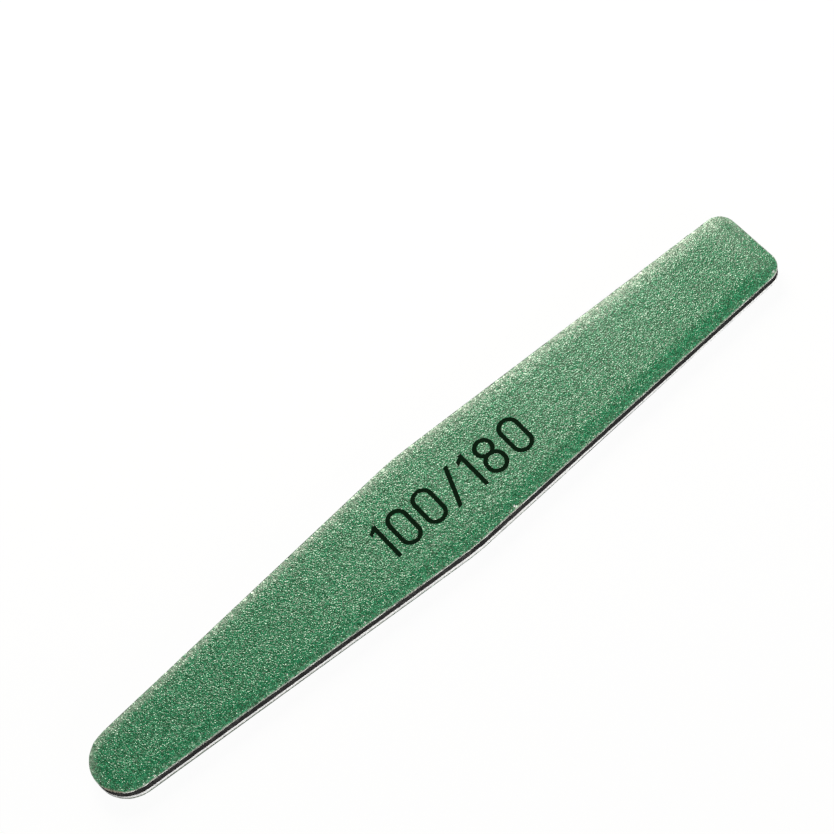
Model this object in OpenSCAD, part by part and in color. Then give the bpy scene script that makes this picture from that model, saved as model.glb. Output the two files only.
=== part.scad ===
// Double-sided cushioned nail file: two abrasive papers glued over a foam cushion and a stiff core.
// It lies flat along X, with its round tip at -X and its cut end at +X. Z = 0 is the coarse face, which
// is underneath, and the fine face is on top. One die cuts all layers, so they share one outline.

/* [Outline] */
// Length of the file, from the round tip to the flat end
file_l = 178; // [150:1:220]
// Width of the file at its widest place
file_w = 28; // [24:0.5:36]
// Distance from the round tip to the widest place
widest_x = 90; // [70:1:110]
// Radius of the round tip
tip_r = 7.9; // [5:0.1:10]
// Width of the flat end
end_w = 20.6; // [14:0.2:26]
// Radius of the two corners of the flat end
corner_r = 4; // [1:0.1:7]
// Radius that rounds each side at the widest place
belly_r = 52; // [20:1:150]

/* [Coarse side] */
// Thickness of the coarse grains and their resin
coarse_grit_t = 0.25; // [0.15:0.01:0.5]
// Thickness of the paper that carries the coarse grains
coarse_paper_t = 0.2; // [0.1:0.01:0.5]

/* [Body] */
// Thickness of the stiff core
core_t = 0.75; // [0.4:0.05:2]
// Thickness of the foam cushion in the middle of the file
foam_t = 2.05; // [0.5:0.05:4]
// Thickness of each adhesive film
tape_t = 0.1; // [0.05:0.01:0.2]

/* [Fine side] */
// Thickness of the paper that carries the fine grains
fine_paper_t = 0.3; // [0.1:0.01:0.5]
// Thickness of the fine grains and their resin
fine_grit_t = 0.15; // [0.05:0.01:0.3]

/* [Hidden] */

// Height of the underside of each layer, counted up from the coarse face
coarse_paper_z = coarse_grit_t;
lower_tape_z = coarse_paper_z + coarse_paper_t;
core_z = lower_tape_z + tape_t;
middle_tape_z = core_z + core_t;
foam_z = middle_tape_z + tape_t;
upper_tape_z = foam_z + foam_t;
fine_paper_z = upper_tape_z + tape_t;
fine_grit_z = fine_paper_z + fine_paper_t;

// Centres of the arcs on the +Y side: the round tip's, on the axis, the widest place's and the corner's
tip_x = tip_r - file_l / 2;
belly_x = widest_x - file_l / 2;
belly_y = file_w / 2 - belly_r;
corner_x = file_l / 2 - corner_r;
corner_y = end_w / 2 - corner_r;

// Largest angle of one step along an arc, and the lowest count of steps that an arc has
arc_step_angle = 3;
arc_step_count = 8;

// Direction in which a straight side faces, where it touches arc 1 and arc 2 from outside
function facing(c1, r1, c2, r2) = let (d = c2 - c1) atan2(d.y, d.x) + acos((r1 - r2) / norm(d));
// Points along an arc from the direction a1 to the direction a2
function arc(c, r, a1, a2) =
    let (steps = max(arc_step_count, ceil(abs(a2 - a1) / arc_step_angle)))
    [for (i = [0 : steps]) let (a = a1 + (a2 - a1) * i / steps) c + r * [cos(a), sin(a)]];

// Directions in which the two straight sides face, before and after the widest place
tip_side_a = facing([tip_x, 0], tip_r, [belly_x, belly_y], belly_r);
end_side_a = facing([belly_x, belly_y], belly_r, [corner_x, corner_y], corner_r);

// The +Y side from the round tip to the flat end. Its straight stretches join one arc to the next.
side_points = [
    each arc([tip_x, 0], tip_r, 180, tip_side_a),
    each arc([belly_x, belly_y], belly_r, tip_side_a, end_side_a),
    each arc([corner_x, corner_y], corner_r, end_side_a, 0)
];

// The same list with each point mirrored to the other side of the axis, and the list turned round
function mirrored(points) = [for (i = [len(points) - 1 : -1 : 0]) [points[i].x, -points[i].y]];

// The die's outline. Both sides start at the round tip's point on the axis, so one copy of it merges.
module outline() {
    polygon(concat(side_points, mirrored(side_points)));
}

// One layer of the file, with its underside at height z
module layer(z, t) {
    translate([0, 0, z]) linear_extrude(t) outline();
}

module coarse_grit_coat() {
    color([0.12, 0.52, 0.30]) layer(0, coarse_grit_t);
}

module coarse_backing_paper() {
    color([0.93, 0.93, 0.90]) layer(coarse_paper_z, coarse_paper_t);
}

module lower_tape() {
    color([0.88, 0.86, 0.78]) layer(lower_tape_z, tape_t);
}

module rigid_core() {
    color([0.95, 0.95, 0.94]) layer(core_z, core_t);
}

module middle_tape() {
    color([0.88, 0.86, 0.78]) layer(middle_tape_z, tape_t);
}

module foam_cushion() {
    color([0.09, 0.09, 0.10]) layer(foam_z, foam_t);
}

module upper_tape() {
    color([0.88, 0.86, 0.78]) layer(upper_tape_z, tape_t);
}

module fine_backing_paper() {
    color([0.93, 0.93, 0.90]) layer(fine_paper_z, fine_paper_t);
}

module fine_grit_coat() {
    color([0.28, 0.50, 0.37]) layer(fine_grit_z, fine_grit_t);
}

coarse_grit_coat();
coarse_backing_paper();
lower_tape();
rigid_core();
middle_tape();
foam_cushion();
upper_tape();
fine_backing_paper();
fine_grit_coat();
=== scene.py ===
"""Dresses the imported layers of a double-sided cushioned nail file and lays it on a white table.

The file lies along X with its fine face up. Each layer is one piece. The two abrasive coats are reliefs of
single grains. The cushion gives the fine face a crown, which the layers above the foam follow down to the
cut edge, and that edge shows torn foam cells, paper fibres and the marks of the die on the core.
"""

import math

import bpy
import numpy as np
from bpy.props import FloatProperty, FloatVectorProperty, IntProperty, PointerProperty
from mathutils import Matrix, Vector, noise
from mathutils.geometry import delaunay_2d_cdt


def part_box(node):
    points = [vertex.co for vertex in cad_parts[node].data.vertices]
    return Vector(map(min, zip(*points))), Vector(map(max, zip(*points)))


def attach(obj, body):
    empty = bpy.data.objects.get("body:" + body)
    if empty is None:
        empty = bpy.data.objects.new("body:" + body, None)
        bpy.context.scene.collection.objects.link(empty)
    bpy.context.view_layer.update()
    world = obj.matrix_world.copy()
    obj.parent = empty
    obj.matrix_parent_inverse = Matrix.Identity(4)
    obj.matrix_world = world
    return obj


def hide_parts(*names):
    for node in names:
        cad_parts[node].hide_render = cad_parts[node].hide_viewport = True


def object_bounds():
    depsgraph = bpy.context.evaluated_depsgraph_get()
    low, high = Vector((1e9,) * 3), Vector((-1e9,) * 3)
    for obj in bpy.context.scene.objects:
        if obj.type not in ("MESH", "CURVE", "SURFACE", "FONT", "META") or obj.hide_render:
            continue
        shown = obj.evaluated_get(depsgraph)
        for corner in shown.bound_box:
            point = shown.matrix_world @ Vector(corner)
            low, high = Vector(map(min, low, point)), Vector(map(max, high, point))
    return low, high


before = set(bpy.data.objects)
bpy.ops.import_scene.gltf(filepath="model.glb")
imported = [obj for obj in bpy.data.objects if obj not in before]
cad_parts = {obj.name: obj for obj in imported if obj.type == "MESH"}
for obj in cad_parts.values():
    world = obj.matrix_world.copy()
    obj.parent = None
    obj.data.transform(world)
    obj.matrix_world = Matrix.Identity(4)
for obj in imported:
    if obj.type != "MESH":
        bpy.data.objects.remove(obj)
CAD_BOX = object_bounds()

bl_info = {
    "name": "Cushioned Nail File",
    "version": (1, 0, 0),
    "blender": (4, 5, 0),
    "location": "View3D > Sidebar > Nail File",
    "description": "Builds the layers of a double-sided nail file and the white table that it lies on",
    "category": "Add Mesh",
}

MM = 0.001

# What the grit's meshes keep for their material, and how far in the rim reaches
BARENESS = "grain_bareness"
RIM_NEARNESS = "rim_nearness"
RIM_REACH = 2.6 * MM

# Stretches across the file or along it over which each of these sets in
# The next two are where the fine face's painted sheen sets in, across the file and along it
SHEEN_SIDE = (-3.0 * MM, 5.0 * MM)
SHEEN_END = (80.0 * MM, 87.0 * MM)
# Over which the foam's edge turns darker towards the flat end, with fewer pale cell rims
FOAM_DARKENING = (-10.0 * MM, 40.0 * MM)
# Where the paper's painted shade and resin fade out away from the round tip
TIP_DARKENING = (-70.0 * MM, -10.0 * MM)

# The gap under the file, the heights over which the walls fade into the ceiling, and the lamps
TABLE_GAP = 0.02 * MM
WALL_FADE = (0.15, 0.42)
KEY_LAMP = {"direction": (0.138, 0.335, 0.26), "distance": 0.486, "size": 0.29, "tint": (1.0, 0.955, 0.825)}
FILL_LAMP = {"direction": (0.15, -0.96, 0.14), "distance": 0.9, "size": 0.5, "tint": (1.0, 1.0, 1.0)}

# Limits and kinds that many properties share
LENGTH = {"min": 0.0, "unit": "LENGTH"}
SIZE = {"min": 0.1 * MM, "unit": "LENGTH"}
ANGLE = {"subtype": "ANGLE", "unit": "ROTATION"}
SHARE = {"min": 0.0, "max": 1.0, "subtype": "FACTOR"}
COLOUR = {"min": 0.0, "max": 1.0, "subtype": "COLOR"}


class CushionProps(bpy.types.PropertyGroup):
    """The crown that the cushion gives the fine face, and the foam's cut edge."""

    crown_drop: FloatProperty(
        name="Crown drop",
        description="How far the fine face lies lower at its edge than in its middle",
        default=0.40 * MM,
        **LENGTH,
    )
    crown_width: FloatProperty(
        name="Crown width",
        description="Width of the rim over which the fine face curves down",
        default=4.3 * MM,
        min=0.5 * MM,
        unit="LENGTH",
    )
    pinch: FloatProperty(
        name="Pinch",
        description="How much lower than elsewhere the fine face's edge lies near the flat end",
        default=0.12 * MM,
        **LENGTH,
    )
    waver: FloatProperty(
        name="Waver",
        description="How far the fine face's edge wavers up and down, as the die bent it down unevenly",
        default=0.16 * MM,
        **LENGTH,
    )
    waver_size: FloatProperty(
        name="Waver size", description="Size of the waves along the fine edge", default=1.1 * MM, **SIZE
    )
    cell_size: FloatProperty(
        name="Cell size", description="Size of the foam's cells", default=0.34 * MM, **SIZE
    )
    cell_depth: FloatProperty(
        name="Cell depth", description="Depth of the deepest opened cells", default=0.13 * MM, **LENGTH
    )
    waist: FloatProperty(
        name="Waist", description="How far the foam draws in between the papers", default=0.07 * MM, **LENGTH
    )
    sag: FloatProperty(
        name="Sag",
        description="How far the foam sags over the core's edge, as a share of the step under it",
        default=0.4,
        **SHARE,
    )
    lip: FloatProperty(
        name="Lip",
        description="How far the foam's lower rim stands back where the core doesn't step back under it",
        default=0.09 * MM,
        **LENGTH,
    )
    foam_colour: FloatVectorProperty(
        name="Foam", description="Colour of the black foam", default=(0.008, 0.0078, 0.008), **COLOUR
    )
    foam_dust: FloatVectorProperty(
        name="Foam dust",
        description="Colour of the dust and the thin cell walls along the foam's edge",
        default=(0.075, 0.073, 0.071),
        **COLOUR,
    )


class SheetProps(bpy.types.PropertyGroup):
    """The papers, the adhesive films and the stiff core."""

    fray: FloatProperty(
        name="Fray", description="How far the papers' cut fibres stand back", default=0.10 * MM, **LENGTH
    )
    die_mark: FloatProperty(
        name="Die mark",
        description="Depth of the marks that the cutting die leaves on the core's edge",
        default=0.03 * MM,
        **LENGTH,
    )
    core_step: FloatProperty(
        name="Core step",
        description="How far the core's edge stands back under the foam, where it does most",
        default=0.30 * MM,
        **LENGTH,
    )
    bevel: FloatProperty(
        name="Bevel",
        description="How far the fine paper's edge stands back at its underside, where it does most",
        default=0.30 * MM,
        **LENGTH,
    )
    slant: FloatProperty(
        name="Slant",
        description="How far the cut leans in from the fine face down to the coarse face",
        default=0.10 * MM,
        **LENGTH,
    )
    slant_growth: FloatProperty(
        name="Slant growth", description="Added lean of the cut at the flat end", default=0.12 * MM, **LENGTH
    )
    tuck: FloatProperty(
        name="Tuck",
        description="How far the coarse paper and its grains stand back near the flat end",
        default=0.32 * MM,
        **LENGTH,
    )
    paper_colour: FloatVectorProperty(
        name="Paper", description="Colour of the papers' cut edge", default=(0.87, 0.87, 0.84), **COLOUR
    )
    paper_stain: FloatVectorProperty(
        name="Paper stain",
        description="Colour of the resin that has soaked into the papers' edge",
        default=(0.36, 0.37, 0.31),
        **COLOUR,
    )
    film_colour: FloatVectorProperty(
        name="Film", description="Colour of the adhesive films' edge", default=(0.74, 0.72, 0.66), **COLOUR
    )
    core_colour: FloatVectorProperty(
        name="Core", description="Colour of the white plastic core", default=(0.86, 0.86, 0.85), **COLOUR
    )


class FineGritProps(bpy.types.PropertyGroup):
    """The grains of the fine face, which is on top."""

    spacing: FloatProperty(
        name="Grain spacing", description="Distance between neighbouring grains", default=0.42 * MM, **SIZE
    )
    relief: FloatProperty(
        name="Relief", description="Height of the tallest grains over the gaps", default=0.135 * MM, **LENGTH
    )
    resin: FloatVectorProperty(
        name="Resin", description="Colour of the resin on the grains", default=(0.018, 0.290, 0.125), **COLOUR
    )
    # Colour in the gaps: deeper resin, and painted shade there too
    gap: FloatVectorProperty(
        name="Gaps", description="Colour of the resin in the gaps", default=(0.002, 0.070, 0.023), **COLOUR
    )
    # Pale grains, which are partly painted glints
    pale: FloatVectorProperty(
        name="Pale grains", description="Colour of pale and worn grains", default=(0.40, 0.66, 0.50), **COLOUR
    )
    pale_share: FloatProperty(
        name="Pale share", description="Share of the grains that are pale", default=0.14, **SHARE
    )
    chips: FloatProperty(
        name="Rim chips",
        description="Share of dusty colour along the rim, where the die chipped the resin",
        default=0.86,
        **SHARE,
    )
    sheen: FloatProperty(
        name="Sheen", description="Specular level of the resin all over the face", default=0.25, **SHARE
    )
    tip_gloss: FloatProperty(
        name="Tip gloss", description="Weight of the gloss on the grains' bare tips", default=1.0, **SHARE
    )
    levelling: FloatProperty(
        name="Levelling", description="Share of the relief filled at the flat end", default=0.42, **SHARE
    )
    # Painted sheen: how much pale wash lies along the rim that faces the key lamp, with some dust
    rim_sheen_and_dust: FloatProperty(
        name="Rim dust",
        description="Share of filing dust on the face along its rim, where it is dustiest",
        default=0.48,
        **SHARE,
    )
    # The dust's colour, which the painted sheen and the chipped rim take too
    dust: FloatVectorProperty(
        name="Dust", description="Colour of the dust on the face", default=(0.38, 0.455, 0.385), **COLOUR
    )
    worn_place: FloatVectorProperty(
        name="Worn place",
        description="Middle of the patch at the round tip where the grains have come off",
        default=(-88.1 * MM, -4.6 * MM, 3.6 * MM),
        subtype="TRANSLATION",
        unit="LENGTH",
    )
    worn_reach: FloatProperty(
        name="Worn reach",
        description="How far the worn patch goes along the edge to either side of its middle",
        default=4.2 * MM,
        **SIZE,
    )
    worn_paper: FloatVectorProperty(
        name="Worn paper", description="Colour of the rubbed paper", default=(0.26, 0.215, 0.185), **COLOUR
    )
    seed: IntProperty(name="Seed", description="Picks another scatter of grains", default=11)


class CoarseGritProps(bpy.types.PropertyGroup):
    """The grains of the coarse face, which is underneath."""

    spacing: FloatProperty(
        name="Grain spacing", description="Distance between neighbouring grains", default=0.50 * MM, **SIZE
    )
    relief: FloatProperty(
        name="Relief", description="Height of the tallest grains over the gaps", default=0.22 * MM, **LENGTH
    )
    resin: FloatVectorProperty(
        name="Resin", description="Colour of the resin on the grains", default=(0.018, 0.37, 0.165), **COLOUR
    )
    # Colour in the gaps: deeper resin, and painted shade there too
    gap: FloatVectorProperty(
        name="Gaps", description="Colour of the resin in the gaps", default=(0.0005, 0.062, 0.017), **COLOUR
    )
    # Pale grains, which are partly painted glints
    pale: FloatVectorProperty(
        name="Pale grains", description="Colour of pale and worn grains", default=(0.38, 0.72, 0.56), **COLOUR
    )
    pale_share: FloatProperty(
        name="Pale share", description="Share of the grains that are pale", default=0.15, **SHARE
    )
    sheen: FloatProperty(
        name="Sheen", description="Specular level of the resin all over the face", default=0.03, **SHARE
    )
    tip_gloss: FloatProperty(
        name="Tip gloss", description="Weight of the gloss on the grains' bare tips", default=0.8, **SHARE
    )
    seed: IntProperty(name="Seed", description="Picks another scatter of grains", default=23)


class MarkProps(bpy.types.PropertyGroup):
    """The grades of the two faces, printed in black numerals on the fine one."""

    left: FloatProperty(
        name="Left end",
        description="Place of the first numeral's left edge along the file",
        default=-14.1 * MM,
        unit="LENGTH",
    )
    across: FloatProperty(
        name="Place across",
        description="Place of the numerals' middle across the file",
        default=-0.3 * MM,
        unit="LENGTH",
    )
    cap_height: FloatProperty(
        name="Numeral height",
        description="Height of the numerals",
        default=9.6 * MM,
        min=1.0 * MM,
        unit="LENGTH",
    )
    numeral_width: FloatProperty(
        name="Numeral width",
        description="Width of a round numeral",
        default=5.2 * MM,
        min=1.0 * MM,
        unit="LENGTH",
    )
    space: FloatProperty(
        name="Space", description="Space between two numerals", default=1.6 * MM, **LENGTH
    )
    stroke: FloatProperty(
        name="Stroke", description="Width of the numerals' strokes", default=1.0 * MM, **SIZE
    )
    ink: FloatVectorProperty(
        name="Ink", description="Colour of the printing ink", default=(0.004, 0.0125, 0.006), **COLOUR
    )


class StageProps(bpy.types.PropertyGroup):
    """The camera, the lamps and the table."""

    lens: FloatProperty(
        name="Lens", description="Focal length in millimetres, on a sensor 36 mm wide", default=130.0
    )
    aim: FloatVectorProperty(
        name="Aim",
        description="Point of the fine face in the middle of the picture",
        default=(10.53 * MM, 18.08 * MM, 3.6 * MM),
        subtype="TRANSLATION",
        unit="LENGTH",
    )
    distance: FloatProperty(
        name="Distance", description="Distance from the camera to its aim", default=0.63213, unit="LENGTH"
    )
    azimuth: FloatProperty(
        name="Azimuth",
        description="Turn of the camera round the file, from a place in front of it",
        default=math.radians(-18.911),
        **ANGLE,
    )
    elevation: FloatProperty(
        name="Elevation", description="Camera's angle over the table", default=math.radians(58.684), **ANGLE
    )
    roll: FloatProperty(
        name="Roll", description="Camera's turn on its line of sight", default=math.radians(-23.064), **ANGLE
    )
    key_power: FloatProperty(
        name="Key lamp", description="Power of the soft lamp behind the file, in watts", default=3.7, min=0.0
    )
    fill_power: FloatProperty(
        name="Fill lamp", description="Power of the low lamp before the file, in watts", default=9.8, min=0.0
    )
    sky_strength: FloatProperty(
        name="Sky strength", description="Strength of the even light from all round", default=0.14, min=0.0
    )
    table_size: FloatProperty(
        name="Table size", description="Width of the white table", default=6.0, min=0.5, unit="LENGTH"
    )
    table_lift: FloatProperty(
        name="Table lift",
        description="Share of plain white in what the camera sees of the table, over its lit colour",
        default=0.955,
        **SHARE,
    )


class Value:
    """An output of a node. Sums on it add Math nodes to the same material."""

    def __init__(self, shader, socket):
        self.shader = shader
        self.socket = socket

    def __add__(self, other):
        return self.shader.math("ADD", self, other)

    __radd__ = __add__

    def __sub__(self, other):
        return self.shader.math("SUBTRACT", self, other)

    def __rsub__(self, other):
        return self.shader.math("SUBTRACT", other, self)

    def __mul__(self, other):
        return self.shader.math("MULTIPLY", self, other)

    __rmul__ = __mul__

    def __abs__(self):
        return self.shader.math("ABSOLUTE", self)


class Shader:
    """A material or a world whose nodes are added by calls, and by sums on what the calls return."""

    def __init__(self, owner):
        owner.use_nodes = True
        self.owner = owner
        self.tree = owner.node_tree
        self.tree.nodes.clear()

    def node(self, kind, settings=None, sockets=None, output=0):
        """Adds a node of that kind, with its settings set first, and then its sockets' values or links."""
        node = self.tree.nodes.new(kind)
        for key, value in (settings or {}).items():
            setattr(node, key, value)
        for key, value in (sockets or {}).items():
            if isinstance(value, Value):
                self.tree.links.new(value.socket, node.inputs[key])
            else:
                node.inputs[key].default_value = value
        return Value(self, node.outputs[output])

    def math(self, operation, *values):
        return self.node("ShaderNodeMath", {"operation": operation}, dict(enumerate(values)))

    def place(self):
        """The point that is shaded, in metres."""
        return self.node("ShaderNodeTexCoord", output="Object")

    def along(self, vector, axis):
        """One of a vector's three numbers."""
        return self.node("ShaderNodeSeparateXYZ", sockets={"Vector": vector}, output=axis)

    def smooth(self, value, low, high):
        """0 below low and 1 above high, with a soft step between them."""
        sockets = {"Value": value, "From Min": low, "From Max": high}
        return self.node("ShaderNodeMapRange", {"interpolation_type": "SMOOTHSTEP"}, sockets)

    def mix(self, share, first, second):
        """A colour between two colours."""
        sockets = {0: share, 6: colour(first), 7: colour(second)}
        return self.node("ShaderNodeMix", {"data_type": "RGBA"}, sockets, 2)

    def stretch(self, vector, shares):
        """A point with each of its three numbers multiplied by a share of its own."""
        return self.node("ShaderNodeVectorMath", {"operation": "MULTIPLY"}, {0: vector, 1: shares})

    def split(self, tint, part):
        """The red, green or blue part of a colour."""
        return self.node("ShaderNodeSeparateColor", None, {"Color": tint}, part)

    def attribute(self, name):
        """A number that the mesh keeps for each of its points."""
        return self.node("ShaderNodeAttribute", {"attribute_name": name}, output="Fac")

    def cloud(self, vector, size, detail=2.0):
        """Soft noise round 0.5, with lumps of that size."""
        sockets = {"Vector": vector, "Scale": 1.0 / size, "Detail": detail}
        return self.node("ShaderNodeTexNoise", None, sockets, "Fac")

    def cells(self, vector, size, output):
        """Random cells of that size: Distance grows from a cell's middle, Color is random for each cell."""
        return self.node("ShaderNodeTexVoronoi", None, {"Vector": vector, "Scale": 1.0 / size}, output)

    def bump(self, height, depth, strength=1.0):
        """The normal of a surface with that height map, whose 0 to 1 spans depth."""
        sockets = {"Height": height, "Distance": depth, "Strength": strength}
        return self.node("ShaderNodeBump", None, sockets, "Normal")

    def surface(self, **sockets):
        """A Principled shader. A socket's name has spaces for the underscores."""
        named = {name.replace("_", " "): colour(value) for name, value in sockets.items()}
        return self.node("ShaderNodeBsdfPrincipled", None, named)

    def finish(self, shader, kind="ShaderNodeOutputMaterial"):
        """Shows that shader, and returns the material or world."""
        out = self.tree.nodes.new(kind)
        self.tree.links.new(shader.socket, out.inputs["Surface"])
        return self.owner


def colour(value):
    """Four numbers for a colour of three, and anything else as it is."""
    if isinstance(value, (Value, int, float)):
        return value
    return (*value, 1.0) if len(value) == 3 else value


def material(name):
    return Shader(bpy.data.materials.new(name))


def least(first, *others):
    """The least of several values."""
    for other in others:
        first = first.shader.math("MINIMUM", first, other)
    return first


def most(first, *others):
    """The greatest of several values."""
    for other in others:
        first = first.shader.math("MAXIMUM", first, other)
    return first


def ring(x, y, half_width, half_height, radius_inset):
    """Distance from the middle line of an upright stadium-shaped ring round the origin."""
    radius = half_width - radius_inset
    reach = half_height - half_width
    beyond = most(abs(y) - reach, 0.0)
    return abs(x.shader.math("SQRT", x * x + beyond * beyond) - radius)


def grade_mark(shader, place, mark):
    """1 where the ink of the numerals 100/180 lies, and 0 elsewhere."""
    one_share = 0.42
    slash_share = 0.86
    upper_share = 0.23
    lower_share = 0.27
    upper_width_share = 0.46
    round_share = 0.98
    flag_slope = 0.62
    flag_drop_share = 1.15
    flag_share = 1.1
    blur = 0.04 * MM
    half = mark.stroke / 2
    wide = mark.numeral_width
    tall = mark.cap_height
    narrow = wide * one_share
    slash_wide = wide * slash_share
    steps = [narrow, wide, wide, slash_wide, narrow, wide, wide]
    lefts = [mark.left + sum(steps[:k]) + mark.space * k for k in range(len(steps))]
    x = shader.along(place, 0)
    y = shader.along(place, 1) - mark.across
    # The two ones, told apart by the slash between them: an upright at the right and a short flag
    second = shader.math("GREATER_THAN", x, lefts[3])
    one_x = x - (lefts[0] + narrow - half) - second * (lefts[4] - lefts[0])
    upright = most(abs(one_x) - half, abs(y) - tall / 2)
    flag_y = y - tall / 2 - one_x * flag_slope + half * flag_drop_share
    flag_end = most(one_x - half, half - narrow - one_x)
    flag = most(abs(flag_y) - half * flag_share, flag_end, y - tall / 2)
    ones = least(upright, flag)
    # The three zeros are like rings, so the nearest one counts
    centres = [lefts[k] + wide / 2 for k in (1, 2, 6)]
    near = least(*(abs(x - centre) for centre in centres))
    zeros = ring(near, y, wide / 2, tall / 2, half) - half
    # The slash
    slope = (slash_wide - mark.stroke) / tall
    slash_x = abs(x - (lefts[3] + slash_wide / 2) - y * slope)
    slash = most(slash_x * math.cos(math.atan(slope)) - half, abs(y) - tall / 2)
    # The eight: a smaller ring on a larger one, which share the stroke where they meet
    eight_x = x - (lefts[5] + wide / 2)
    upper = (tall + mark.stroke) * upper_share
    lower = (tall + mark.stroke) * lower_share
    upper_wide = min(wide * upper_width_share, upper * round_share)
    lower_wide = min(wide / 2, lower * round_share)
    top = ring(eight_x, y - (tall / 2 - upper), upper_wide, upper, half)
    foot = ring(eight_x, y + (tall / 2 - lower), lower_wide, lower, half)
    eight = least(top, foot) - half
    return 1.0 - shader.smooth(least(ones, zeros, slash, eight), -blur, blur)


def grit_material(name, grit, mark=None):
    """Green resin over abrasive grains, deeper in the gaps, with pale grains and worn tips. The dark gaps are
    also painted shade, and the pale grains are partly painted glints.

    The face that has a mark also has painted sheen with some dust, its wear, and the print over them.
    """
    m = material(name)
    place = m.place()
    size = grit.spacing * 0.7
    bare = m.attribute(BARENESS)
    grain = m.cells(place, size, "Color")
    lot = m.split(grain, 0)
    shade = m.split(grain, 1)
    drift = m.cloud(place, size=7.0 * MM)
    # Painted shade: the gaps take the dark gap colour, for deeper resin and for the shade that falls there
    tone_and_shade = m.smooth(bare + (shade - 0.5) * 0.3, 0.1, 0.72)
    base = m.mix(tone_and_shade, grit.gap, grit.resin)
    # Painted glints: pale grains, likelier on the bare tips, stand partly for the light that the tips catch
    tip = m.smooth(bare + (drift - 0.5) * 0.4, 0.55, 1.0)
    pale = m.smooth(lot + tip * 0.25, 1.08 - grit.pale_share, 1.2 - grit.pale_share)
    base = m.mix(pale * (0.55 + 0.45 * shade), base, grit.pale)
    rough = 0.36 + shade * 0.1
    gloss = m.smooth(bare, 0.2, 0.65)
    fine_bump = m.cloud(place, size=size * 0.33, detail=3.0)
    if mark is not None:
        # Painted sheen with some dust lies on the flat end and on the rim that turns to +Y, towards the key
        # lamp, and the other rim is chipped
        near = m.attribute(RIM_NEARNESS)
        side = m.smooth(m.along(place, 1), *SHEEN_SIDE)
        end = m.smooth(m.along(place, 0), *SHEEN_END) * (0.15 + 0.45 * lot) * (0.55 + 0.45 * side)
        sheen_and_dust = m.smooth(near * (0.4 + 1.2 * lot), 0.05, 0.9) * (0.15 + 0.85 * side)
        sheen_and_dust = most(sheen_and_dust, end)
        # Paints the sheen, in the dust's colour
        base = m.mix(sheen_and_dust * grit.rim_sheen_and_dust, base, grit.dust)
        chipped = m.smooth(near + (shade - 0.5) * 0.1, 0.88, 0.99) * (1.0 - side)
        base = m.mix(chipped * grit.chips, base, grit.dust)
        worn = worn_patch(m, place, near, fine_bump, grit)
        base = m.mix(worn * 0.85, base, grit.worn_paper)
        rough = rough + 0.1 * sheen_and_dust * side
        gloss = gloss * (1.0 - 0.25 * sheen_and_dust) * (1.0 - worn)
    normal = m.bump(fine_bump, depth=grit.relief * 0.2, strength=0.3)
    grains = m.surface(
        Base_Color=base,
        Roughness=rough,
        Specular_IOR_Level=grit.sheen,
        Coat_Weight=gloss * grit.tip_gloss,
        Coat_IOR=1.6,
        Coat_Roughness=0.2,
        Normal=normal,
    )
    if mark is None:
        return m.finish(grains)
    printed = grade_mark(m, place, mark)
    ink = m.surface(Base_Color=mark.ink, Roughness=0.8, Specular_IOR_Level=0.0, Normal=normal)
    return m.finish(m.node("ShaderNodeMixShader", None, {0: printed, 1: grains, 2: ink}))


def worn_patch(m, place, near, rubbed, grit):
    """1 where the grains have come off at the round tip's rim, and 0 elsewhere."""
    sockets = {0: place, 1: grit.worn_place}
    away = m.node("ShaderNodeVectorMath", {"operation": "DISTANCE"}, sockets, "Value")
    within = 1.0 - m.smooth(away, grit.worn_reach * 0.4, grit.worn_reach)
    close = 1.0 - (1.0 - near) * 2.2
    return m.smooth(close + within + (rubbed - 0.5) * 1.4, 1.55, 1.85)


def foam_material(cushion):
    """Black closed-cell foam, with dust on the rims of its opened cells."""
    m = material("black_foam")
    place = m.place()
    cell = m.cells(place, cushion.cell_size * 0.6, "Distance")
    fine = m.cloud(place, size=0.08 * MM, detail=4.0)
    rim = m.smooth(cell, 0.35, 0.75)
    patch = m.cloud(place, size=1.6 * MM, detail=3.0)
    dust = m.smooth(patch + (fine - 0.5) * 0.8, 0.42, 0.75)
    # Darker towards the flat end, with fewer pale cell rims there
    dust = dust * (1.0 - 0.6 * m.smooth(m.along(place, 0), *FOAM_DARKENING))
    base = m.mix(rim * dust, cushion.foam_colour, cushion.foam_dust)
    normal = m.bump(cell + fine * 0.4, depth=0.06 * MM, strength=0.7)
    return m.finish(m.surface(Base_Color=base, Roughness=0.7 + fine * 0.25, Normal=normal, IOR=1.27))


def paper_material(name, sheets, soak, tip_soak_and_shade=0.0):
    """The cut edge of a latex paper: fibres in layers, with resin soaked into them.

    soak is the share of resin where there is most. The last argument darkens more of the paper towards the
    round tip, as soaked resin and as painted shade under the tip.
    """
    m = material(name)
    place = m.place()
    fibre = m.cloud(m.stretch(place, (1.0, 1.0, 5.0)), size=0.22 * MM, detail=4.0)
    blotch = m.cloud(place, size=1.7 * MM, detail=3.0)
    # Painted shade: darker towards the round tip, as resin and as the shadow under the tip
    tip = 1.0 - m.smooth(m.along(place, 0), *TIP_DARKENING)
    stain = m.smooth(fibre * 0.5 + blotch * 0.6 + tip * tip_soak_and_shade, 0.52, 0.78) * soak
    base = m.mix(stain, sheets.paper_colour, sheets.paper_stain)
    normal = m.bump(fibre, depth=0.04 * MM, strength=0.6)
    return m.finish(m.surface(Base_Color=base, Roughness=0.75 + fibre * 0.2, Normal=normal, IOR=1.45))


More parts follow.
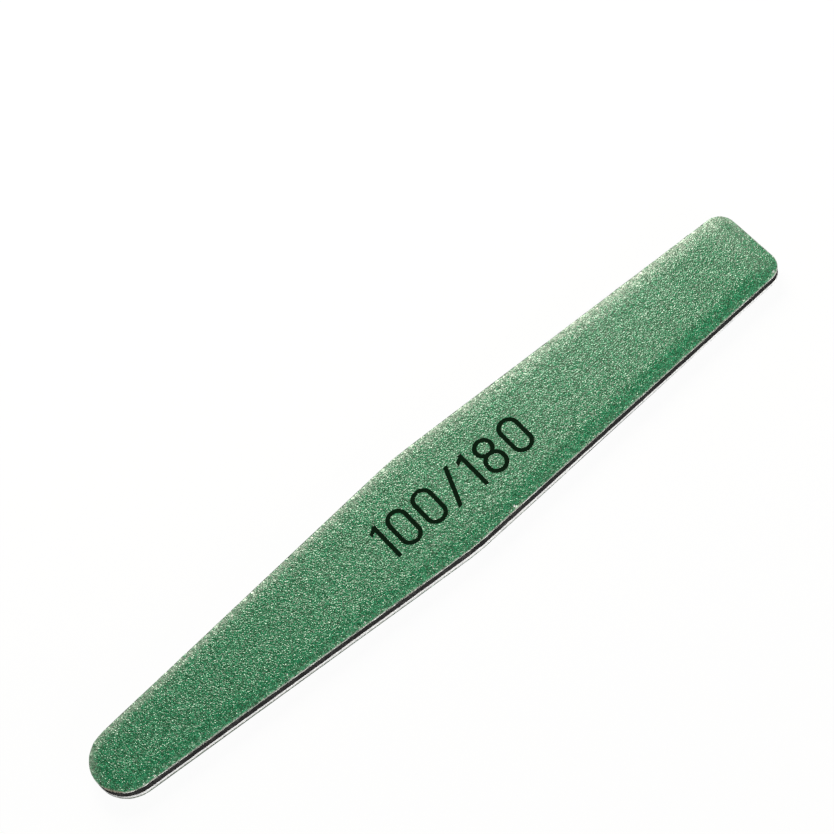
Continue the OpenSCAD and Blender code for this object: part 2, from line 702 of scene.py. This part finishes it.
def film_material(sheets):
    """The edge of a clear adhesive film on its carrier, with dust and fibres stuck to it."""
    m = material("adhesive_film")
    place = m.place()
    speck = m.cloud(place, size=0.15 * MM, detail=3.0)
    dirt = m.smooth(speck, 0.55, 0.72)
    base = m.mix(dirt * 0.6, sheets.film_colour, sheets.paper_stain)
    normal = m.bump(speck, depth=0.02 * MM, strength=0.5)
    return m.finish(m.surface(Base_Color=base, Roughness=0.32 + dirt * 0.4, Normal=normal))


def core_material(sheets):
    """White polystyrene, sheared by the die: fine upright marks, whiter where it was stressed."""
    m = material("core_plastic")
    place = m.place()
    upright_share = 0.08
    dark_share = 0.78
    mark = m.cloud(m.stretch(place, (1.0, 1.0, upright_share)), size=0.18 * MM, detail=3.0)
    smear = m.cloud(place, size=0.9 * MM)
    white = m.smooth(mark * 0.7 + smear * 0.3, 0.42, 0.62)
    base = m.mix(white, tuple(dark_share * part for part in sheets.core_colour), sheets.core_colour)
    normal = m.bump(mark, depth=0.03 * MM, strength=0.5)
    return m.finish(m.surface(Base_Color=base, Roughness=0.38 + mark * 0.25, Normal=normal))


def file_outline():
    """The corners of the die's outline in order round the file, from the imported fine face."""
    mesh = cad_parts["fine_grit_coat"].data
    corners = {(round(v.co.x, 7), round(v.co.y, 7)) for v in mesh.vertices}
    return np.array(sorted(corners, key=lambda corner: math.atan2(corner[1], corner[0])))


OUTLINE = file_outline()


def rim_points(step):
    """Points at even steps round the outline, and the direction outwards at each."""
    edges = np.roll(OUTLINE, -1, 0) - OUTLINE
    lengths = np.hypot(edges[:, 0], edges[:, 1])
    ends = np.concatenate([[0.0], np.cumsum(lengths)])
    count = int(ends[-1] / step)
    run = np.arange(count) * ends[-1] / count
    edge = np.searchsorted(ends, run, side="right") - 1
    share = (run - ends[edge]) / lengths[edge]
    points = OUTLINE[edge] + edges[edge] * share[:, None]
    tangent = np.roll(points, -1, 0) - np.roll(points, 1, 0)
    outward = np.stack([tangent[:, 1], -tangent[:, 0]], 1)
    outward /= np.hypot(outward[:, 0], outward[:, 1])[:, None]
    return points, outward


def depth_inside(points):
    """How far each point lies inside the outline, which bends one way all round."""
    depth = np.full(len(points), np.inf)
    for corner, following in zip(OUTLINE, np.roll(OUTLINE, -1, 0)):
        edge = following - corner
        inward = np.array([-edge[1], edge[0]]) / math.hypot(edge[0], edge[1])
        depth = np.minimum(depth, (points - corner) @ inward)
    return depth


def lattice(spacing, margin, jitter=0.0, seed=0):
    """Points of a triangular lattice inside the outline, each shifted at random by a share of the spacing.

    margin is how far inside they lie at least, as a number or as a function of the points.
    """
    rng = np.random.default_rng(seed)
    low, high = OUTLINE.min(0), OUTLINE.max(0)
    columns = np.arange(int((high[0] - low[0]) / spacing) + 2)
    rows = np.arange(int((high[1] - low[1]) / (spacing * math.sqrt(0.75))) + 2)
    column, row = np.meshgrid(columns, rows)
    x = low[0] + (column + 0.5 * (row % 2)) * spacing
    y = low[1] + row * spacing * math.sqrt(0.75)
    points = np.stack([x.ravel(), y.ravel()], 1)
    points += rng.uniform(-jitter, jitter, points.shape) * spacing
    inset = margin(points) if callable(margin) else margin
    return points[depth_inside(points) > inset]


def bumps(points, size, seed):
    """Smooth noise from about -1 to 1 at each point, with lumps of that size."""
    shift = Vector((seed * 17.3, seed * 5.9, seed * 11.1))
    return np.array([noise.noise(Vector(point) / size + shift) for point in points])


def level_bumps(points, size, seed):
    """Smooth noise like that of bumps, but alike at all heights over a place."""
    return bumps(lifted(points[:, :2], 0.0), size, seed)


def patches(noise_values, usual, contrast):
    """Shares from 0 to 1, which vary with the noise round a usual one."""
    return np.clip(usual + contrast * noise_values, 0.0, 1.0)


def eased(values):
    """A soft step from 0 to 1, over values from 0 to 1."""
    share = np.clip(values, 0.0, 1.0)
    return share * share * (3.0 - 2.0 * share)


def edge_drop(points, cushion):
    """How far the layers over the foam lie below their flat height at the edge beside each point.

    The edge lies lower towards the flat end, and wavers up and down all round.
    """
    pinch_reach = 0.7
    pinched = eased(points[:, 0] / (CAD_BOX[1].x * pinch_reach))
    wave = level_bumps(points, cushion.waver_size, seed=31)
    return cushion.crown_drop + cushion.pinch * pinched + cushion.waver * wave


def crown_drop(points, cushion):
    """How far the layers over the foam lie below their flat height at each point."""
    curve = 1.7
    rise = np.clip(depth_inside(points) / cushion.crown_width, 0.0, 1.0)
    return edge_drop(points, cushion) * (1.0 - rise) ** curve


def cap(rim, inner):
    """Triangles that fill a rim through the points inside it, as places in both lists joined."""
    points = [Vector(point) for point in np.concatenate([rim, inner])]
    result = delaunay_2d_cdt(points, [], [range(len(rim))], 1, 1e-9, True)
    given = [sources[0] for sources in result[3]]
    return np.array([[given[corner] for corner in face] for face in result[2]])


def closed_piece(name, rows, top, foot, smooth):
    """A closed mesh from rows of points up its wall and the points inside its top and its underside.

    rows goes from the lowest row to the highest. top and foot are arrays of points with their heights.
    """
    count = len(rows[0])
    vertices = np.concatenate([*rows, top, foot])
    first_top = count * len(rows)
    first_foot = first_top + len(top)
    here = np.arange(count)
    ahead = (here + 1) % count
    walls = []
    for level in range(len(rows) - 1):
        low = here + level * count
        low_ahead = ahead + level * count
        walls.append(np.stack([low, low_ahead, low_ahead + count], 1))
        walls.append(np.stack([low, low_ahead + count, low + count], 1))
    upper = cap(rows[-1][:, :2], top[:, :2]) + first_top - count
    lower = cap(rows[0][:, :2], foot[:, :2])
    lower = np.where(lower < count, lower, lower - count + first_foot)[:, ::-1]
    faces = np.concatenate([*walls, upper, lower])
    mesh = bpy.data.meshes.new(name)
    mesh.from_pydata(vertices.tolist(), [], faces.tolist())
    mesh.polygons.foreach_set("use_smooth", np.full(len(faces), smooth))
    mesh.validate()
    piece = bpy.data.objects.new(name, mesh)
    bpy.context.scene.collection.objects.link(piece)
    return piece


def dress(piece, finish, slot, *nodes):
    """Gives a piece its material, and puts it on the body in place of its layers."""
    piece.data.materials.append(finish)
    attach(piece, "root")
    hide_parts(*nodes)


def heights(node):
    """The heights of a packed layer's underside and top."""
    low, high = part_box(node)
    return low.z, high.z


def lifted(points, z):
    """Points of the plane with their heights."""
    return np.column_stack([points, np.broadcast_to(z, len(points))])


def lean(points, sheets):
    """How far the cut stands back at each point, as it leans in towards the coarse face."""
    along = np.clip(points[:, 0] / CAD_BOX[1].x, 0.0, 1.0)
    return (sheets.slant + sheets.slant_growth * along) * (1.0 - points[:, 2] / CAD_BOX[1].z)


def wall_row(rim, outward, z, back, sheets):
    """A row of points of the cut wall at height z, which stands back from where the cut leans in to."""
    row = lifted(rim, z)
    row[:, :2] -= outward * (back + lean(row, sheets))[:, None]
    return row


def tuck(points, sheets):
    """How far the layers under the core stand further back at each point, near the flat end."""
    start = 0.25
    reach = 0.3
    return sheets.tuck * eased((points[:, 0] / CAD_BOX[1].x - start) / reach)


def torn_back(rim, size, seed):
    """How far the resin's rim is torn back at each point, in notches of that size."""
    usual = 0.03 * MM
    return usual * (1.0 + level_bumps(rim, size, seed))


def grit_relief(grit, rim, margin, levelling=0.0):
    """Points of a bed of grains, with the height of each as a share of the relief, and how bare each is.

    A grain is a tip with a gap in the middle of each triangle of neighbouring tips. Resin lies dark in the
    gaps, at 0, and thin on the tips, at 1; the darkness in the gaps is partly painted shade.
    At the flat end it fills the share levelling of the relief.
    """
    tips = lattice(grit.spacing, margin, jitter=0.42, seed=grit.seed)
    triangles = cap(rim, tips)
    between = triangles[(triangles >= len(rim)).all(1)] - len(rim)
    gaps = tips[between].mean(1)
    rng = np.random.default_rng(grit.seed + 1)
    bare_tips = rng.uniform(0.4, 1.0, len(tips))
    bare_gaps = rng.uniform(0.0, 0.35, len(gaps))
    bare = np.concatenate([bare_tips, bare_gaps])
    points = np.concatenate([tips, gaps])
    clump = level_bumps(points, grit.spacing * 3.0, grit.seed)
    share = (0.45 * bare + 0.55 * rng.uniform(0.0, 1.0, len(points))) * (1.0 + 0.15 * clump)
    filled = levelling * np.clip(points[:, 0] / CAD_BOX[1].x + 0.2, 0.0, 1.0)
    return points, np.clip(0.5 + (share - 0.5) * (1.0 - filled), 0.0, 1.0), bare


def write_grain_data(piece, bare):
    """Keeps how bare of resin each point of a relief is, and how near the rim, which the material reads."""
    places = np.array([vertex.co[:2] for vertex in piece.data.vertices])
    near = np.clip(1.0 - depth_inside(places) / RIM_REACH, 0.0, 1.0)
    for name, values in ((BARENESS, bare), (RIM_NEARNESS, near)):
        layer = piece.data.attributes.new(name, "FLOAT", "POINT")
        layer.data.foreach_set("value", np.asarray(values, np.float32))


class NAILFILE_OT_fine_grit(bpy.types.Operator):
    """Build the relief of the fine face, with the grades printed on it"""

    bl_idname = "nailfile.fine_grit"
    bl_label = "Fine grit"

    def execute(self, context):
        grit = context.scene.nail_file_fine
        cushion = context.scene.nail_file_cushion
        low, high = heights("fine_grit_coat")
        rim, outward = rim_points(step=grit.spacing * 0.6)
        rim = rim - outward * torn_back(rim, 0.5 * MM, seed=3)[:, None]
        points, share, bare = grit_relief(grit, rim, 0.22 * MM, grit.levelling)
        base = high - grit.relief
        rng = np.random.default_rng(grit.seed + 2)
        rim_share = rng.uniform(0.0, 0.6, len(rim))
        top = lifted(points, base - crown_drop(points, cushion) + share * grit.relief)
        drop = edge_drop(rim, cushion)
        rows = [lifted(rim, low - drop), lifted(rim, base - drop + rim_share * grit.relief)]
        inner = lattice(spacing=2.0 * MM, margin=0.8 * MM)
        foot = lifted(inner, low - crown_drop(inner, cushion))
        piece = closed_piece("fine_grit_relief", rows, top, foot, False)
        write_grain_data(piece, np.concatenate([np.zeros(len(rim)), rim_share, bare, np.zeros(len(foot))]))
        finish = grit_material("fine_grit", grit, context.scene.nail_file_mark)
        dress(piece, finish, "fine_grit", "fine_grit_coat")
        return {"FINISHED"}


class NAILFILE_OT_coarse_grit(bpy.types.Operator):
    """Build the relief of the coarse face, which is underneath"""

    bl_idname = "nailfile.coarse_grit"
    bl_label = "Coarse grit"

    def execute(self, context):
        grit = context.scene.nail_file_coarse
        sheets = context.scene.nail_file_sheets
        low, high = heights("coarse_grit_coat")
        rim, outward = rim_points(step=grit.spacing * 0.6)
        back = torn_back(rim, 0.6 * MM, seed=5) + tuck(rim, sheets)
        rim = wall_row(rim, outward, high, back, sheets)[:, :2]

        def margin(points):
            return 0.28 * MM + tuck(points, sheets) + lean(lifted(points, low), sheets)

        points, share, bare = grit_relief(grit, rim, margin)
        rng = np.random.default_rng(grit.seed + 2)
        # Towards the round tip the rim's grains reach further down
        towards_tip = np.clip(-rim[:, 0] / CAD_BOX[1].x * 1.8 - 0.2, 0.0, 1.0)
        rim_share = np.clip(rng.uniform(0.1, 0.9, len(rim)) + 0.5 * towards_tip, 0.0, 1.0)
        base = low + grit.relief
        foot = lifted(points, base - share * grit.relief)
        rows = [lifted(rim, base - rim_share * grit.relief), lifted(rim, high)]
        top = lifted(lattice(spacing=2.0 * MM, margin=0.8 * MM), high)
        piece = closed_piece("coarse_grit_relief", rows, top, foot, False)
        write_grain_data(piece, np.concatenate([np.zeros(2 * len(rim) + len(top)), bare]))
        dress(piece, grit_material("coarse_grit", grit), "coarse_grit", "coarse_grit_coat")
        return {"FINISHED"}


def step_share(points):
    """How far the core stands back under the foam at each point, as a share of where it does most."""
    return patches(level_bumps(points, 1.8 * MM, seed=21), usual=0.3, contrast=2.0)


def sheet_piece(name, node, back, level_count, cushion, sheets, step):
    """A sheet that follows the crown where it lies over the foam. back gives how far its wall stands back."""
    low, high = heights(node)
    rim, outward = rim_points(step)
    drop = edge_drop(rim, cushion) if cushion else 0.0
    rows = []
    for level in range(level_count + 1):
        share = level / level_count
        z = low + (high - low) * share - drop
        rows.append(wall_row(rim, outward, z, back(lifted(rim, z), share), sheets))
    inner = lattice(spacing=1.2 * MM, margin=0.8 * MM)
    sink = crown_drop(inner, cushion) if cushion else 0.0
    return closed_piece(name, rows, lifted(inner, high - sink), lifted(inner, low - sink), True)


class NAILFILE_OT_papers(bpy.types.Operator):
    """Build the two papers that carry the grains, with the fibres of their cut edge"""

    bl_idname = "nailfile.papers"
    bl_label = "Papers"

    def execute(self, context):
        sheets = context.scene.nail_file_sheets
        cushion = context.scene.nail_file_cushion

        def frayed(points, share):
            fibre = bumps(points * (1.0, 1.0, 3.0), 0.25 * MM, seed=7)
            return sheets.fray * patches(fibre, usual=0.4, contrast=0.6)

        def bevelled(points, share):
            wave = patches(level_bumps(points, 1.5 * MM, seed=27), usual=0.45, contrast=1.6)
            return frayed(points, share) + sheets.bevel * (1.0 - share) * wave

        def tucked(points, share):
            return frayed(points, share) + tuck(points, sheets)

        fine = sheet_piece("fine_paper", "fine_backing_paper", bevelled, 3, cushion, sheets, step=0.25 * MM)
        finish = paper_material("fine_paper", sheets, soak=0.25)
        dress(fine, finish, "backing_paper", "fine_backing_paper")
        coarse = sheet_piece("coarse_paper", "coarse_backing_paper", tucked, 2, None, sheets, step=0.25 * MM)
        finish = paper_material("coarse_paper", sheets, soak=0.75, tip_soak_and_shade=0.22)
        dress(coarse, finish, "backing_paper", "coarse_backing_paper")
        return {"FINISHED"}


class NAILFILE_OT_films(bpy.types.Operator):
    """Build the three adhesive films"""

    bl_idname = "nailfile.films"
    bl_label = "Adhesive films"

    def execute(self, context):
        sheets = context.scene.nail_file_sheets
        cushion = context.scene.nail_file_cushion
        finish = film_material(sheets)

        def squeezed(points, share):
            return 0.15 * MM + 0.08 * MM * patches(bumps(points, 0.7 * MM, seed=9), usual=0.5, contrast=1.0)

        def stepped(points, share):
            return sheets.core_step * step_share(points)

        def tucked(points, share):
            return 0.05 * MM + tuck(points, sheets)

        upper = sheet_piece("upper_film", "upper_tape", squeezed, 1, cushion, sheets, step=0.4 * MM)
        dress(upper, finish, "adhesive_film", "upper_tape")
        middle = sheet_piece("middle_film", "middle_tape", stepped, 1, None, sheets, step=0.3 * MM)
        dress(middle, finish, "adhesive_film", "middle_tape")
        lower = sheet_piece("lower_film", "lower_tape", tucked, 1, None, sheets, step=0.3 * MM)
        dress(lower, finish, "adhesive_film", "lower_tape")
        return {"FINISHED"}


class NAILFILE_OT_core(bpy.types.Operator):
    """Build the stiff core, with the marks of the die on its edge"""

    bl_idname = "nailfile.core"
    bl_label = "Stiff core"

    def execute(self, context):
        sheets = context.scene.nail_file_sheets

        def sheared(points, share):
            upright = points * (1.0, 1.0, 0.1)
            mark = 0.6 * bumps(upright, 0.35 * MM, seed=13) + 0.4 * bumps(upright, 1.3 * MM, seed=14)
            burr = 1.0 - 0.5 * math.sin(math.pi * share)
            marked = sheets.die_mark * np.clip(burr * (0.5 + 0.5 * mark), 0.0, 1.0)
            return sheets.core_step * step_share(points) * share + marked

        core = sheet_piece("core_strip", "rigid_core", sheared, 4, None, sheets, step=0.2 * MM)
        dress(core, core_material(sheets), "core_plastic", "rigid_core")
        return {"FINISHED"}


class NAILFILE_OT_foam(bpy.types.Operator):
    """Build the foam cushion, with the cells that the die cut open along its edge"""

    bl_idname = "nailfile.foam"
    bl_label = "Foam cushion"

    def execute(self, context):
        cushion = context.scene.nail_file_cushion
        sheets = context.scene.nail_file_sheets
        cell_reach = 0.62
        sag_fade = 3.0
        lip_fade = 4.0
        levels = 12
        low, high = heights("foam_cushion")
        rim, outward = rim_points(step=0.16 * MM)
        drop = edge_drop(rim, cushion)
        stepped = step_share(rim)
        step = sheets.core_step * stepped
        rows = [wall_row(rim, outward, low, step, sheets)]
        for level in range(levels + 1):
            share = level / levels
            sag = cushion.sag * step * max(0.0, 1.0 - sag_fade * share)
            z = low - sag + (high - drop - low) * share
            points = lifted(rim, z)
            nearest = np.array([noise.voronoi(Vector(point) / cushion.cell_size)[0][0] for point in points])
            cell = np.clip(1.0 - nearest / cell_reach, 0.0, 1.0)
            wave = bumps(points, 2.6 * MM, seed=17)
            drawn_in = cushion.waist * (math.sin(math.pi * share) + 0.6 * wave)
            back = np.clip(drawn_in + cushion.cell_depth * np.sqrt(cell), 0.0, None)
            torn = min(1.0, lip_fade * share)
            back = back * torn + cushion.lip * (1.0 - stepped) * (1.0 - torn)
            rows.append(wall_row(rim, outward, z, back, sheets))
        inner = lattice(spacing=1.2 * MM, margin=0.6 * MM)
        top = lifted(inner, high - crown_drop(inner, cushion))
        piece = closed_piece("foam_pad", rows, top, lifted(inner, low), False)
        dress(piece, foam_material(cushion), "black_foam", "foam_cushion")
        return {"FINISHED"}


def soft_lamp(name, power, direction, distance, size, tint):
    """A square lamp in that direction from the file, which faces it."""
    light = bpy.data.lights.new(name, "AREA")
    light.size = size
    light.energy = power
    light.color = tint
    lamp = bpy.data.objects.new(name, light)
    bpy.context.scene.collection.objects.link(lamp)
    towards = Vector(direction).normalized()
    lamp.location = towards * distance
    lamp.rotation_euler = towards.to_track_quat("Z", "Y").to_euler()


def seen_directly(shader):
    """1 for what the camera sees, straight or in a reflection or through glass, and 0 for cast light."""
    rays = ("Is Camera Ray", "Is Glossy Ray", "Is Transmission Ray")
    return most(*(shader.node("ShaderNodeLightPath", output=ray) for ray in rays))


def room(stage):
    """A studio with white walls and a dim ceiling, which casts an even weak light."""
    m = Shader(bpy.data.worlds.new("white_room"))
    up = m.along(m.node("ShaderNodeTexCoord", output="Generated"), 2)
    wall = 1.0 - m.smooth(up, *WALL_FADE)
    strength = stage.sky_strength + seen_directly(m) * wall * (1.0 - stage.sky_strength)
    light = m.node("ShaderNodeBackground", None, {"Color": (1.0, 1.0, 1.0, 1.0), "Strength": strength})
    return m.finish(light, "ShaderNodeOutputWorld")


def table_material(stage):
    """White, and mostly plain white to the camera, so that the ground is white with a faint shadow."""
    m = material("white_table")
    seen = seen_directly(m)
    lit = m.node("ShaderNodeBsdfDiffuse", None, {"Color": (0.88, 0.88, 0.88, 1.0)})
    plain = m.node("ShaderNodeEmission", None, {"Strength": 1.0})
    return m.finish(m.node("ShaderNodeMixShader", None, {0: seen * stage.table_lift, 1: lit, 2: plain}))


class NAILFILE_OT_stage(bpy.types.Operator):
    """Build the table, the lamps and the camera"""

    bl_idname = "nailfile.stage"
    bl_label = "Stage"

    def execute(self, context):
        scene = context.scene
        stage = scene.nail_file_stage
        half = stage.table_size / 2
        under = CAD_BOX[0].z - TABLE_GAP
        corners = [(-half, -half, under), (half, -half, under), (half, half, under), (-half, half, under)]
        mesh = bpy.data.meshes.new("table")
        mesh.from_pydata(corners, [], [(0, 1, 2, 3)])
        table = bpy.data.objects.new("table", mesh)
        scene.collection.objects.link(table)
        mesh.materials.append(table_material(stage))
        soft_lamp("key_lamp", stage.key_power, **KEY_LAMP)
        soft_lamp("fill_lamp", stage.fill_power, **FILL_LAMP)
        scene.world = room(stage)
        scene.view_settings.view_transform = "Standard"
        camera = bpy.data.objects.new("camera", bpy.data.cameras.new("camera"))
        scene.collection.objects.link(camera)
        camera.data.lens = stage.lens
        camera.data.sensor_width = 36.0
        back = Vector((
            math.sin(stage.azimuth) * math.cos(stage.elevation),
            -math.cos(stage.azimuth) * math.cos(stage.elevation),
            math.sin(stage.elevation),
        ))
        level = Vector((0.0, 0.0, 1.0)).cross(back).normalized()
        turned = Matrix.Rotation(stage.roll, 3, back)
        right = turned @ level
        up = back.cross(right)
        camera.matrix_world = Matrix.LocRotScale(
            Vector(stage.aim) + back * stage.distance, Matrix((right, up, back)).transposed(), None
        )
        scene.camera = camera
        return {"FINISHED"}


OPERATORS = (
    NAILFILE_OT_stage,
    NAILFILE_OT_coarse_grit,
    NAILFILE_OT_papers,
    NAILFILE_OT_films,
    NAILFILE_OT_core,
    NAILFILE_OT_foam,
    NAILFILE_OT_fine_grit,
)


class NAILFILE_PT_pieces(bpy.types.Panel):
    """The pieces of the nail file and its stage"""

    bl_idname = "NAILFILE_PT_pieces"
    bl_label = "Nail File"
    bl_space_type = "VIEW_3D"
    bl_region_type = "UI"
    bl_category = "Nail File"

    def draw(self, context):
        for operator in OPERATORS:
            self.layout.operator(operator.bl_idname)


PROPS = {
    "nail_file_cushion": CushionProps,
    "nail_file_sheets": SheetProps,
    "nail_file_fine": FineGritProps,
    "nail_file_coarse": CoarseGritProps,
    "nail_file_mark": MarkProps,
    "nail_file_stage": StageProps,
}


def register():
    for name, group in PROPS.items():
        bpy.utils.register_class(group)
        setattr(bpy.types.Scene, name, PointerProperty(type=group))
    for operator in OPERATORS:
        bpy.utils.register_class(operator)
    bpy.utils.register_class(NAILFILE_PT_pieces)


def unregister():
    bpy.utils.unregister_class(NAILFILE_PT_pieces)
    for operator in reversed(OPERATORS):
        bpy.utils.unregister_class(operator)
    for name, group in PROPS.items():
        delattr(bpy.types.Scene, name)
        bpy.utils.unregister_class(group)


def main():
    """Builds every piece."""
    register()
    bpy.ops.nailfile.stage()
    bpy.ops.nailfile.coarse_grit()
    bpy.ops.nailfile.papers()
    bpy.ops.nailfile.films()
    bpy.ops.nailfile.core()
    bpy.ops.nailfile.foam()
    bpy.ops.nailfile.fine_grit()


if __name__ == "__main__":
    main()
